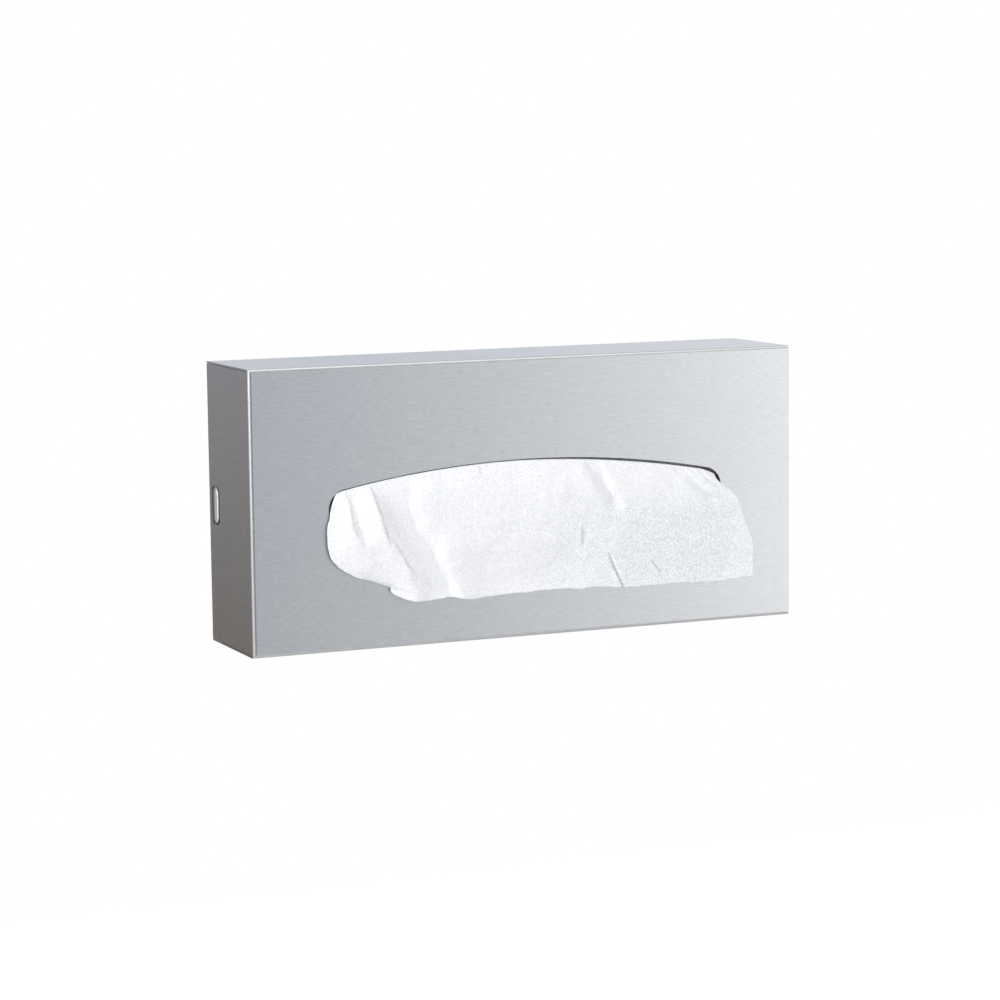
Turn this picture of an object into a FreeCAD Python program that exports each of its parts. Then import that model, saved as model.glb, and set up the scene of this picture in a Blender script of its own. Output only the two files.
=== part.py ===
import FreeCAD, Part
import math
import os

from FreeCAD import Vector

# Surface-mounted facial tissue dispenser.
# Millimetres. +Z is up, +X is to the right as seen from the front, +Y runs into the wall.
# The origin is the centre of the bracket's back, on the face of the wall.

# Stack of interfolded tissues, which sets the size of all that holds it
stack_width = 213.0
stack_height = 107.0
stack_depth = 40.0
stack_edge = 2.0
stack_gap = 0.2
stack_side_room = 10.0
stack_head_room = 12.8
stack_front_room = 6.8

# Carton: folded card with an oval mouth and glued end flaps
card = 0.5
carton_edge = 0.9
carton_gap = 0.2
flap_step = 19.2
carton_head_room = 10.4
latch_bay = 23.0
screw_head_room = 10.0

# Cover: one folded sheet of stainless steel, open towards the wall
cover_sheet = 0.8
cover_bend = 1.8
cover_wall_gap = 0.4
seam_gap = 0.2

# Opening in the front: two flat arcs joined by round ends, and the wider mouth of the carton behind it
mouth_inset = 5.0
mouth_height = 37.0
mouth_end_radius = 9.4
carton_mouth_side = 3.0
carton_mouth_rise = 12.5

# Slots in the cover's sides, where the latches show
slot_length = 18.0
slot_width = 11.5
slot_back_strip = 3.6
slot_centre_z = -1.0
slot_corner = 3.0

# Wall bracket: one folded sheet inside the cover
bracket_sheet = 1.0
bracket_bend = 2.0
bracket_play = 0.4
flange_depth = 18.0
lip_depth = 10.2
corner_relief = 3.0
tip_corner = 4.0
screw_spacing_x = 203.2
screw_spacing_z = 76.2
screw_hole = 5.5

# Latch button: its back slopes so that the cover's edge strip presses it in
button_length = 16.8
button_width = 7.6
button_corner = 3.0
button_back_gap = 0.8
button_slope = 0.2
button_ledge = 0.8
button_proud = 0.1
button_bevel = 0.4
window_gap = 0.4
shank_diameter = 4.0
tail_diameter = 6.4
tail_thickness = 1.2
button_play = 0.15
shank_gap = 0.3

# Latch spring: a flat leaf riveted to the inside of the bracket's flange
leaf_thickness = 0.5
leaf_width = 11.0
leaf_corner = 4.0
leaf_end_gap = 4.3
leaf_below_button = 12.0
rivet_from_end = 5.0
rivet_pitch = 10.0
rivet_shank = 3.0
rivet_flush_head = 4.4
rivet_head = 5.0
rivet_head_rise = 1.1
rivet_gap = 0.04

# Tissue drawn out of the opening
tissue_thickness = 0.8
tissue_root_z = 4.0
tissue_root_inset = 3.5
tissue_root_gap = 0.3
tissue_mouth_gap = 0.9
tissue_end_gap = 3.4
tissue_crown = 2.4
tissue_bulge = 4.3
tissue_end_drop = 0.35
tissue_hem_proud = 2.2
hem_z = -44.7
hem_dip = 1.2
hem_left_out = -29.1
hem_right_out = 20.2

# The drape's two sides from the opening to the hem, as (how far past the end of the opening's row, z)
left_side = [(3.5, 0.2), (5.1, -8.0), (4.8, -18.5), (-1.5, -27.0), (-15.5, -35.2)]
right_side = [(3.5, -0.2), (9.9, -4.6), (13.9, -13.4), (17.9, -24.0), (20.5, -35.0)]

# Folds as (x and z of the upper end, x and z of the lower end, half width, height towards the viewer)
folds = [
    (-91.0, 8.0, -85.0, -15.0, 3.6, -1.2),
    (-83.0, 10.0, -77.0, -14.0, 3.6, 1.2),
    (-77.0, 4.0, -63.0, -36.0, 4.0, -1.4),
    (-52.0, -14.0, -41.0, -44.0, 4.0, 1.1),
    (31.0, 16.0, 45.0, -10.0, 4.0, -1.3),
    (39.0, 14.0, 53.0, -14.0, 4.0, 0.9),
    (40.0, -28.0, 48.0, -46.0, 3.6, -1.2),
    (82.0, 10.0, 99.0, -6.0, 3.6, -1.5),
    (93.0, 7.0, 103.0, -6.0, 3.6, 1.2),
]

# The grid of points that the tissue's surfaces run over, and how its folds and hem fade
tissue_columns = 53
tissue_inside_rows = 3
tissue_outside_rows = 12
fold_fade = 2.5
fold_start = 0.2
hem_dip_place = 0.16
hem_dip_spread = 0.14

# How close an edge lies to a plane that it is said to be in
touch = 1e-3

# Places that follow from the sizes above
carton_width = stack_width + 2 * stack_side_room
carton_height = stack_height + 2 * card + stack_gap + stack_head_room
carton_depth = stack_depth + 2 * card + stack_gap + stack_front_room
cover_width = carton_width + 2 * latch_bay
cover_height = carton_height + carton_head_room + 2 * cover_sheet
cover_front = bracket_sheet + screw_head_room + carton_depth + carton_gap + cover_sheet
front_y = -cover_front
cover_inner_x = cover_width / 2 - cover_sheet
cover_inner_z = cover_height / 2 - cover_sheet
cover_inner_y = front_y + cover_sheet
slot_centre_y = -(slot_back_strip + slot_width / 2)
flange_outer_x = cover_inner_x - bracket_play
flange_inner_x = flange_outer_x - bracket_sheet
lip_outer_z = cover_inner_z - bracket_play
leaf_inner_x = flange_inner_x - leaf_thickness
leaf_top = lip_outer_z - leaf_end_gap
rivet_heights = (leaf_top - rivet_from_end, leaf_top - rivet_from_end - rivet_pitch)
button_back_y = -(slot_back_strip + button_back_gap)
button_centre_y = button_back_y - button_width / 2
button_face_x = cover_width / 2 + button_proud
carton_front_y = cover_inner_y + carton_gap
carton_back_y = carton_front_y + carton_depth
carton_bottom_z = -cover_inner_z
carton_centre_z = carton_bottom_z + carton_height / 2
stack_back_y = carton_back_y - card - stack_gap
stack_front_y = stack_back_y - stack_depth
mouth_half_width = stack_width / 2 - mouth_inset
mouth_half_height = mouth_height / 2
mouth_end = min(mouth_end_radius, 0.9 * mouth_half_height)
tissue_end_x = mouth_half_width - tissue_end_gap
drape_hem_left = -(tissue_end_x + hem_left_out)
drape_hem_right = tissue_end_x + hem_right_out


def box(low, high):
    size = [b - a for a, b in zip(low, high)]
    return Part.makeBox(size[0], size[1], size[2], Vector(*low))


def face_of(edges):
    return Part.Face(Part.Wire(Part.__sortEdges__(edges)))


def line(a, b):
    return Part.LineSegment(a, b).toShape()


def flat_oval(width, height, centre_z, y):
    """A lying oval in a plane across Y: two straight sides and two half-round ends."""
    r = height / 2
    half = width / 2 - r
    top, bottom = centre_z + r, centre_z - r
    edges = [line(Vector(-half, y, z), Vector(half, y, z)) for z in (top, bottom)]
    for side in (-1, 1):
        x = side * half
        tip = Vector(x + side * r, y, centre_z)
        edges.append(Part.Arc(Vector(x, y, top), tip, Vector(x, y, bottom)).toShape())
    return face_of(edges)


def side_bar(width, length, corner, centre_y, centre_z, x_a, x_b):
    """A bar along X with rounded corners: width is its size along Y and length its size along Z."""
    low_x, high_x = sorted((x_a, x_b))
    half_y, half_z = width / 2, length / 2
    bar = box((low_x, centre_y - half_y, centre_z - half_z), (high_x, centre_y + half_y, centre_z + half_z))
    along_x = [e for e in bar.Edges if max(e.BoundBox.YLength, e.BoundBox.ZLength) < touch]
    return bar.makeFillet(min(corner, 0.45 * width), along_x)


def mouth_arc_radius():
    """The radius of the long arcs that run tangent into the round ends."""
    inner = mouth_half_width - mouth_end
    return (inner**2 + mouth_half_height**2 - mouth_end**2) / (2 * (mouth_half_height - mouth_end))


def mouth_upper_edge(x):
    """The height of the opening's upper edge at x."""
    big = mouth_arc_radius()
    end_x = mouth_half_width - mouth_end
    join_x = end_x * big / (big - mouth_end)
    if abs(x) <= join_x:
        return math.sqrt(big**2 - x**2) - (big - mouth_half_height)
    return math.sqrt(max(mouth_end**2 - (abs(x) - end_x) ** 2, 0.0))


def mouth_face(y):
    """The lens-shaped opening: two long arcs and two round ends, tangent where they meet."""
    end_x = mouth_half_width - mouth_end
    join_x = end_x * mouth_arc_radius() / (mouth_arc_radius() - mouth_end)
    join_z = mouth_upper_edge(join_x)
    edges = []
    for side in (-1, 1):
        left, right = (Vector(x, y, side * join_z) for x in (-join_x, join_x))
        edges.append(Part.Arc(left, Vector(0, y, side * mouth_half_height), right).toShape())
        low, high = (Vector(side * join_x, y, z) for z in (-join_z, join_z))
        edges.append(Part.Arc(low, Vector(side * mouth_half_width, y, 0), high).toShape())
    return face_of(edges)


def round_front_edges(solid, radius):
    front = solid.BoundBox.YMin
    return solid.makeFillet(radius, [e for e in solid.Edges if e.BoundBox.YMax < front + touch])


def make_cover():
    half_x, half_z = cover_width / 2, cover_height / 2
    outer = box((-half_x, front_y, -half_z), (half_x, -cover_wall_gap, half_z))
    outer = round_front_edges(outer, cover_bend)
    inner = box((-cover_inner_x, cover_inner_y, -cover_inner_z), (cover_inner_x, 0, cover_inner_z))
    inner = round_front_edges(inner, cover_bend - cover_sheet)
    cover = outer.cut(inner)
    opening = mouth_face(front_y - cover_sheet).extrude(Vector(0, 3 * cover_sheet, 0))
    cover = cover.cut(opening)
    for side in (-1, 1):
        slot = side_bar(slot_width, slot_length, slot_corner, slot_centre_y, slot_centre_z,
                        0, side * cover_width)
        cover = cover.cut(slot)
        for end in (-1, 1):
            cover = cover.cut(corner_seam(side, end))
    return cover


def corner_seam(side, end):
    """The gap where a side wall's edge runs under the top or bottom wall, ending in a round relief."""
    seam_front = front_y + cover_bend + seam_gap
    z_edge = end * cover_inner_z
    z_low, z_high = sorted((z_edge, z_edge - end * seam_gap))
    x_low, x_high = sorted((side * (cover_inner_x - cover_sheet), side * cover_width))
    slit = box((x_low, seam_front, z_low), (x_high, 0, z_high))
    centre = Vector(x_low, seam_front, z_edge - end * seam_gap / 2)
    relief = Part.makeCylinder(seam_gap, x_high - x_low, centre, Vector(1, 0, 0))
    keep = box((x_low, front_y, min(z_edge, 0)), (x_high, 0, max(z_edge, 0)))
    return slit.fuse(relief).common(keep)


def bend(side, half_outer, radius):
    """One bend of a channel's section as an arc, for its outer or its inner radius."""
    x = side * (half_outer - bracket_bend)
    diagonal = radius * math.sqrt(0.5)
    return Part.Arc(Vector(x + side * radius, -bracket_bend, 0),
                    Vector(x + side * diagonal, diagonal - bracket_bend, 0),
                    Vector(x, radius - bracket_bend, 0))


def channel(half_outer, depth, half_length):
    """A bent channel along Z: a web on the wall and two legs towards the front."""
    inner_radius = bracket_bend - bracket_sheet
    left_out, right_out = (bend(side, half_outer, bracket_bend) for side in (-1, 1))
    left_in, right_in = (bend(side, half_outer, inner_radius) for side in (-1, 1))
    edges = [arc.toShape() for arc in (left_out, right_out, left_in, right_in)]
    edges.append(line(left_out.EndPoint, right_out.EndPoint))
    edges.append(line(left_in.EndPoint, right_in.EndPoint))
    for outer, inner in ((left_out, left_in), (right_out, right_in)):
        outer_tip = Vector(outer.StartPoint.x, -depth, 0)
        inner_tip = Vector(inner.StartPoint.x, -depth, 0)
        leg = [outer.StartPoint, outer_tip, inner_tip, inner.StartPoint]
        edges += [line(a, b) for a, b in zip(leg, leg[1:])]
    section = face_of(edges)
    section.translate(Vector(0, 0, -half_length))
    solid = section.extrude(Vector(0, 0, 2 * half_length))
    tips = [e for e in solid.Edges if e.BoundBox.YMax < -depth + touch and e.BoundBox.ZLength < touch]
    return solid.makeFillet(min(tip_corner, 0.4 * depth), tips)


def make_bracket():
    sides = channel(flange_outer_x, flange_depth, lip_outer_z - corner_relief)
    lips = channel(lip_outer_z, lip_depth, flange_outer_x - corner_relief)
    lips.rotate(Vector(0, 0, 0), Vector(0, 1, 0), 90)
    bracket = sides.fuse(lips).removeSplitter()
    for x in (-screw_spacing_x / 2, screw_spacing_x / 2):
        for z in (-screw_spacing_z / 2, screw_spacing_z / 2):
            start = Vector(x, -1.5 * bracket_sheet, z)
            hole = Part.makeCylinder(screw_hole / 2, 2 * bracket_sheet, start, Vector(0, 1, 0))
            bracket = bracket.cut(hole)
    window_width = button_width + 2 * window_gap
    window_length = button_length + 2 * window_gap
    for side in (-1, 1):
        window = side_bar(window_width, window_length, button_corner + window_gap, button_centre_y,
                          slot_centre_z, side * leaf_inner_x, side * cover_width / 2)
        bracket = bracket.cut(window)
        for z in rivet_heights:
            bracket = bracket.cut(rivet_hole(side, z))
    return bracket


def turned(points, side, z):
    """A solid turned about an X axis, from points of (radius, depth in from the flange's outer face)."""
    outline = [Vector(radius, -depth, 0) for radius, depth in points]
    solid = Part.Face(Part.makePolygon(outline + outline[:1])).revolve(Vector(0, 0, 0), Vector(0, 1, 0), 360)
    solid.rotate(Vector(0, 0, 0), Vector(0, 0, 1), -90)
    if side < 0:
        solid = solid.mirror(Vector(0, 0, 0), Vector(1, 0, 0))
    solid.translate(Vector(side * flange_outer_x, button_centre_y, z))
    return solid


def rivet(side, z):
    """A rivet: a countersunk head flush with the flange's outer face and a low flat head over the leaf."""
    cone = (rivet_flush_head - rivet_shank) / 2
    grip = bracket_sheet + leaf_thickness
    head_end = grip + rivet_head_rise
    return turned([(0, 0), (rivet_flush_head / 2, 0), (rivet_shank / 2, cone), (rivet_shank / 2, grip),
                   (rivet_head / 2, grip), (rivet_head / 2, head_end), (0, head_end)], side, z)


def rivet_hole(side, z):
    """What a rivet's countersunk head and shank take out of the flange and the leaf."""
    cone = (rivet_flush_head - rivet_shank) / 2
    end = bracket_sheet + 2 * leaf_thickness
    return turned([(0, 0), (rivet_flush_head / 2 + rivet_gap, 0), (rivet_shank / 2 + rivet_gap, cone),
                   (rivet_shank / 2 + rivet_gap, end), (0, end)], side, z)


def make_leaf(side):
    """A flat spring strip with rounded corners, a clear hole for the button's shank and two rivet holes."""
    bottom = slot_centre_z - leaf_below_button
    length = leaf_top - bottom
    strip = side_bar(leaf_width, length, leaf_corner, button_centre_y, bottom + length / 2,
                     side * leaf_inner_x, side * flange_inner_x)
    start = Vector(side * flange_inner_x - 2 * leaf_thickness, button_centre_y, slot_centre_z)
    hole = Part.makeCylinder(shank_diameter / 2 + shank_gap, 4 * leaf_thickness, start, Vector(1, 0, 0))
    strip = strip.cut(hole)
    for z in rivet_heights:
        strip = strip.cut(rivet_hole(side, z))
    return strip


def button_slope_cut():
    """The space behind the button's ledge and slope, which the cover's edge strip slides along."""
    ledge_x = cover_inner_x - button_play
    slope_back_y = button_back_y - button_ledge
    slope_front_y = slope_back_y - (button_face_x - ledge_x) / button_slope
    clear_x = button_face_x + cover_sheet
    clear_y = button_back_y + cover_sheet
    outline = [(ledge_x, slope_back_y), (button_face_x, slope_front_y), (clear_x, slope_front_y),
               (clear_x, clear_y), (ledge_x, clear_y)]
    points = [Vector(x, y, slot_centre_z - button_length) for x, y in outline]
    return Part.Face(Part.makePolygon(points + points[:1])).extrude(Vector(0, 0, 2 * button_length))


def make_button(side):
    """The latch button: a head with a ledge and a slope at its back, a shank through the leaf and a tail."""
    head_inner_x = flange_inner_x + button_play
    head = side_bar(button_width, button_length, button_corner, button_centre_y, slot_centre_z,
                    head_inner_x, button_face_x)
    rim = [e for e in head.Edges if e.BoundBox.XMin > button_face_x - touch]
    head = head.makeChamfer(min(button_bevel, button_width / 8), rim).cut(button_slope_cut())
    shank_top = flange_outer_x - head_inner_x
    tail_top = flange_outer_x - leaf_inner_x + button_play
    tail_end = tail_top + tail_thickness
    shank = turned([(0, shank_top), (shank_diameter / 2, shank_top), (shank_diameter / 2, tail_top),
                    (tail_diameter / 2, tail_top), (tail_diameter / 2, tail_end), (0, tail_end)],
                   1, slot_centre_z)
    button = head.fuse(shank).removeSplitter()
    return button.mirror(Vector(0, 0, 0), Vector(1, 0, 0)) if side < 0 else button


def make_carton():
    """One folded card box: four long rounded creases, an oval mouth and a glued flap over each end."""
    half = carton_width / 2
    top_z = carton_bottom_z + carton_height
    outer = box((-half, carton_front_y, carton_bottom_z), (half, carton_back_y, top_z))
    outer = round_long_edges(outer, carton_edge)
    inner = box((-half + 2 * card, carton_front_y + card, carton_bottom_z + card),
                (half - 2 * card, carton_back_y - card, top_z - card))
    carton = outer.cut(round_long_edges(inner, carton_edge - card))
    flap_y = carton_front_y + flap_step
    groove_low, groove_high = carton_bottom_z + carton_edge, top_z - carton_edge
    for side in (-1, 1):
        x_low, x_high = sorted((side * (half - card), side * (half + card)))
        carton = carton.cut(box((x_low, flap_y, groove_low), (x_high, flap_y + card, groove_high)))
    mouth = flat_oval(2 * (mouth_half_width + carton_mouth_side), mouth_height + 2 * carton_mouth_rise,
                      carton_centre_z, carton_front_y - card)
    return carton.cut(mouth.extrude(Vector(0, 3 * card, 0)))


def round_long_edges(solid, radius):
    """Rounds the four edges that run along X."""
    reach = solid.BoundBox.XLength / 2
    return solid.makeFillet(radius, [e for e in solid.Edges if e.BoundBox.XLength > reach])


def make_stack():
    half = stack_width / 2
    low_z = carton_bottom_z + card + stack_gap
    stack = box((-half, stack_front_y, low_z), (half, stack_back_y, low_z + stack_height))
    return round_long_edges(stack, stack_edge)


def mouth_row(u):
    """Where the tissue passes under the opening's upper edge, with u from 0 at the left to 1."""
    x = tissue_end_x * (2 * u - 1)
    return x, mouth_upper_edge(x) - tissue_mouth_gap


def hem_row(u):
    """The hem's place at u, with a shallow dip near its left corner."""
    dip = hem_dip * math.exp(-((u - hem_dip_place) / hem_dip_spread) ** 2)
    return drape_hem_left + (drape_hem_right - drape_hem_left) * u, hem_z - dip


def side_curve(side, outline):
    """One side of the drape as a smooth curve from the opening to the hem's corner."""
    u = 0 if side < 0 else 1
    places = [mouth_row(u)] + [(side * (tissue_end_x + out), z) for out, z in outline] + [hem_row(u)]
    curve = Part.BSplineCurve()
    curve.interpolate([Vector(x, 0, z) for x, z in places])
    return curve


def drape_place(u, t, left, right):
    """A point of the hanging part as (x, z): a patch between the opening, the hem and the two sides."""
    ends = [Vector(x, 0, z) for x, z in (mouth_row(0), mouth_row(1), hem_row(0), hem_row(1))]
    top, bottom = (Vector(x, 0, z) for x, z in (mouth_row(u), hem_row(u)))
    beside = left.value(left.LastParameter * t) * (1 - u) + right.value(right.LastParameter * t) * u
    flat = (ends[0] * (1 - u) + ends[1] * u) * (1 - t) + (ends[2] * (1 - u) + ends[3] * u) * t
    place = beside + top * (1 - t) + bottom * t - flat
    return place.x, place.z


def fold_height(x, z):
    """How far the folds push the tissue towards the viewer at a point of the drape."""
    total = 0.0
    for x0, z0, x1, z1, half, height in folds:
        dx, dz = x1 - x0, z1 - z0
        length = math.hypot(dx, dz)
        down = ((x - x0) * dx + (z - z0) * dz) / length
        across = ((x - x0) * dz - (z - z0) * dx) / length
        inside = 1 / (1 + math.exp(-down / fold_fade)) / (1 + math.exp((down - length) / fold_fade))
        total += height * inside * math.exp(-((across / half) ** 2))
    return total


def inside_point(u, s):
    """A point between the stack, where s is 0, and the opening, where s is 1."""
    x, z = mouth_row(u)
    root_x = (u - 0.5) * (stack_width - 2 * tissue_root_inset)
    root_y = stack_front_y - tissue_root_gap
    crown = 4 * tissue_crown * s * (1 - s)
    return Vector(root_x + (x - root_x) * s, root_y + (front_y - root_y) * s,
                  tissue_root_z + (z - tissue_root_z) * s + crown)


def outside_point(u, t, left, right):
    """A point between the opening, where t is 0, and the hem, where t is 1."""
    x, z = drape_place(u, t, left, right)
    fullness = 27 / 4 * t * (1 - t) ** 2  # it is 1 a third of the way down
    belly = tissue_bulge * (1 - tissue_end_drop * (2 * u - 1) ** 4) * fullness
    fold = fold_height(x, z) * min(1, t / fold_start)
    return Vector(x, front_y - tissue_hem_proud * t - belly - fold, z)


def tissue_rows():
    """Points on the tissue's outer side, in rows from the stack to the opening and on to the hem."""
    across = [j / (tissue_columns - 1) for j in range(tissue_columns)]
    left, right = side_curve(-1, left_side), side_curve(1, right_side)
    rows = [[inside_point(u, i / tissue_inside_rows) for u in across] for i in range(tissue_inside_rows + 1)]
    for i in range(1, tissue_outside_rows + 1):
        rows.append([outside_point(u, i / tissue_outside_rows, left, right) for u in across])
    return rows


def offset_rows(rows, distance):
    """The same rows moved inwards along the sheet's own normals."""
    last_row, last_column = len(rows) - 1, len(rows[0]) - 1
    moved = []
    for i, row in enumerate(rows):
        moved_row = []
        for j, p in enumerate(row):
            down = rows[min(i + 1, last_row)][j] - rows[max(i - 1, 0)][j]
            across = row[min(j + 1, last_column)] - row[max(j - 1, 0)]
            normal = across.cross(down)
            normal.normalize()
            moved_row.append(p + normal * distance)
        moved.append(moved_row)
    return moved


def smooth_edge(points):
    """A smooth curve led by a row of points, which keeps its two ends and softens the folds between them."""
    degree = 3
    spans = len(points) - degree
    knots = [i / spans for i in range(spans + 1)]
    counts = [degree + 1] + [1] * (spans - 1) + [degree + 1]
    curve = Part.BSplineCurve()
    curve.buildFromPolesMultsKnots(points, counts, knots, False, degree)
    return curve.toShape()


def section(outer, inner):
    """The four edges round the sheet's cut across one row."""
    return [smooth_edge(outer), smooth_edge(inner), line(outer[0], inner[0]), line(outer[-1], inner[-1])]


def make_tissue():
    """A thin closed sheet: strips from row to row on both sides and both ends, capped at root and hem."""
    outer = tissue_rows()
    sections = [section(a, b) for a, b in zip(outer, offset_rows(outer, tissue_thickness))]
    faces = []
    for upper, lower in zip(sections, sections[1:]):
        faces += [Part.makeRuledSurface(a, b) for a, b in zip(upper, lower)]
    faces += [Part.makeRuledSurface(row[0], row[1]) for row in (sections[0], sections[-1])]
    shell = Part.makeShell(faces)
    shell.sewShape()
    solid = Part.makeSolid(shell)
    if solid.Volume < 0:
        solid.reverse()
    return solid


def main():
    os.makedirs("parts", exist_ok=True)
    pieces = {
        "cover": make_cover(),
        "wall_bracket": make_bracket(),
        "tissue_carton": make_carton(),
        "tissue_stack": make_stack(),
        "pulled_tissue": make_tissue(),
    }
    for name, side in (("left", -1), ("right", 1)):
        pieces[name + "_latch_spring"] = make_leaf(side)
        pieces[name + "_latch_button"] = make_button(side)
        for place, z in zip(("upper", "lower"), rivet_heights):
            pieces[name + "_" + place + "_rivet"] = rivet(side, z)
    for name, shape in pieces.items():
        shape.exportStep("parts/" + name + ".step")
        low, high = (shape.BoundBox.getPoint(corner) for corner in (4, 2))
        print(name, len(shape.Solids), shape.isValid(), round(shape.Volume, 1),
              [round(v, 2) for v in low], [round(v, 2) for v in high])


main()
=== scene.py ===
# %% [markdown]
# A facial tissue dispenser for a wall: a satin steel cover clipped over a hidden bracket, with a carton of
# tissues behind a lens-shaped opening and one tissue drawn out over the opening's lower edge.
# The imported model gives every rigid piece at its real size, in metres: +X right, +Y into the wall, +Z up.
# This lesson gives those pieces their finishes, and makes by hand what is soft or what bends.

import math

import bpy
import numpy as np
from mathutils import Matrix, Vector, noise


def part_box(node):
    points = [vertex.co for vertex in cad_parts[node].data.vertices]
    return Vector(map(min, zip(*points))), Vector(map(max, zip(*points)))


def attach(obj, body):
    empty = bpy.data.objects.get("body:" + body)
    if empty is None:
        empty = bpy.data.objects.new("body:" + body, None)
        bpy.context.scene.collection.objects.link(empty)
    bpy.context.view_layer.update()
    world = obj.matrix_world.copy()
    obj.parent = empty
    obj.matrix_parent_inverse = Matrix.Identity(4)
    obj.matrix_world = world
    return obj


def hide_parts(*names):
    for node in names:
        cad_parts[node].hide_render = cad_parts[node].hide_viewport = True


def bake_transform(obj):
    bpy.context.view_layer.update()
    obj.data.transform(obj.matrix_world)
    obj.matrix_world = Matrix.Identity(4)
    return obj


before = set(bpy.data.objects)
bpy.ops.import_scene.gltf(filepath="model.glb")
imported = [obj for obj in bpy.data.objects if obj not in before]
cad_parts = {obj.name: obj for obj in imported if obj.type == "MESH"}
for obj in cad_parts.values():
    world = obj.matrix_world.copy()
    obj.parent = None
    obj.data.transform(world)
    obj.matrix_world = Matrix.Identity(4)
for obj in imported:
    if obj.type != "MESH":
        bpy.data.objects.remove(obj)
bpy.context.scene.view_settings.view_transform = "Standard"
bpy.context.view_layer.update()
cover_low, cover_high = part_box("cover")
MM = 0.001
print("cover", [round(v / MM, 1) for v in cover_high - cover_low], "mm")

# %% [markdown]
# The camera comes first, because every later look is judged through it. Its place was found by fitting a lens
# to the cover's corners: a long lens, a little to the left and above. The three axes are worked out from the
# heading, the dip and a small roll, which is plainer than a chain of turns.

# %% Camera at the photograph's viewing angle
CAMERA_PLACE = Vector((-0.5835, -1.3789, 0.1777))
HEADING, DIP, ROLL = (math.radians(a) for a in (23.297, 7.067, -0.677))
LENS, SENSOR_WIDTH = 110.455, 36

ahead = Vector((math.sin(HEADING) * math.cos(DIP), math.cos(HEADING) * math.cos(DIP), -math.sin(DIP)))
level_right = Vector((math.cos(HEADING), -math.sin(HEADING), 0))
level_up = level_right.cross(ahead)
right = level_right * math.cos(ROLL) + level_up * math.sin(ROLL)
up = level_up * math.cos(ROLL) - level_right * math.sin(ROLL)

camera = bpy.data.objects.new("camera", bpy.data.cameras.new("camera"))
bpy.context.scene.collection.objects.link(camera)
bpy.context.scene.camera = camera
camera.data.lens = LENS
camera.data.sensor_width = SENSOR_WIDTH
turn = Matrix((right, up, -ahead)).transposed()
camera.matrix_world = Matrix.Translation(CAMERA_PLACE) @ turn.to_4x4()
print("camera", round(CAMERA_PLACE.length, 3), "m from the middle of the bracket's back")

# %% [markdown]
# Satin metal is mostly a picture of the room, so the room matters as much as the metal. This room is bright
# on the left, in front on the right, and behind on the right, and dim between. The front panel mirrors the
# rise from the dim front to the bright stretch beside it, so it brightens from left to right. The cover's
# left wall mirrors the dim stretch behind on the left, which turns it grey, and its top mirrors the bright
# one behind. A world shader holds this by direction, so nothing stands in the way of other views.

# %% Helpers for node trees
def node(tree, kind, **inputs):
    """Adds a node and sets or links its inputs: by name, with underscores for spaces, or by number as i0."""
    made = tree.nodes.new(kind)
    for name, value in inputs.items():
        by_number = name[0] == "i" and name[1:].isdigit()
        socket = made.inputs[int(name[1:])] if by_number else made.inputs[name.replace("_", " ")]
        if isinstance(value, bpy.types.NodeSocket):
            tree.links.new(value, socket)
        else:
            socket.default_value = value
    return made


def calc(tree, operation, a, b=0.0):
    made = node(tree, "ShaderNodeMath", i0=a, i1=b)
    made.operation = operation
    return made.outputs[0]


def ramp(tree, value, low, high, out_low=0.0, out_high=1.0):
    """A smooth step of a value from one range to another."""
    made = node(tree, "ShaderNodeMapRange", Value=value)
    made.interpolation_type = "SMOOTHSTEP"
    for socket, number in zip(made.inputs[1:5], (low, high, out_low, out_high)):
        socket.default_value = number
    return made.outputs[0]


def blend_colour(tree, share, a, b):
    made = tree.nodes.new("ShaderNodeMix")
    made.data_type = "RGBA"
    for socket, value in ((made.inputs[0], share), (made.inputs[6], a), (made.inputs[7], b)):
        if isinstance(value, bpy.types.NodeSocket):
            tree.links.new(value, socket)
        else:
            socket.default_value = value
    return made.outputs[2]


# %% The room's tones, by heading
# Each row is a heading in degrees, 0 straight in front and positive to the right, and the room's tone there.
ROOM_TONES = [
    (-180, (0.55, 0.55, 0.56)), (-168, (0.38, 0.37, 0.39)), (-158, (0.335, 0.325, 0.355)),
    (-120, (0.30, 0.285, 0.29)), (-95, (0.90, 0.89, 0.90)), (-60, (0.98, 0.97, 0.98)),
    (-40, (0.36, 0.37, 0.38)), (-20, (0.24, 0.25, 0.27)), (5, (0.32, 0.365, 0.41)),
    (15, (0.375, 0.435, 0.51)), (25, (0.98, 1.03, 1.085)), (34, (0.97, 0.94, 0.915)),
    (50, (0.35, 0.345, 0.34)), (90, (0.40, 0.40, 0.40)), (115, (0.95, 0.95, 0.96)),
    (138, (1.02, 1.01, 1.07)), (150, (1.07, 1.09, 1.16)), (159, (0.78, 0.82, 0.92)),
    (167, (0.92, 0.99, 1.05)), (180, (0.55, 0.55, 0.56)),
]

world = bpy.data.worlds.new("room")
bpy.context.scene.world = world
world.use_nodes = True
tree = world.node_tree
tree.nodes.clear()
direction = node(tree, "ShaderNodeTexCoord").outputs["Generated"]
rightward, inward, upward = node(tree, "ShaderNodeSeparateXYZ", Vector=direction).outputs
heading = calc(tree, "ARCTAN2", rightward, calc(tree, "MULTIPLY", inward, -1.0))
around = calc(tree, "ADD", calc(tree, "MULTIPLY", heading, 1 / (2 * math.pi)), 0.5)
tones = node(tree, "ShaderNodeValToRGB", Fac=around)
stops = tones.color_ramp.elements
while len(stops) < len(ROOM_TONES):
    stops.new(0.5)
for stop, (degrees, tone) in zip(stops, ROOM_TONES):
    stop.position = degrees / 360 + 0.5
    stop.color = (*tone, 1)
print("room tones", len(stops))

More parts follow.
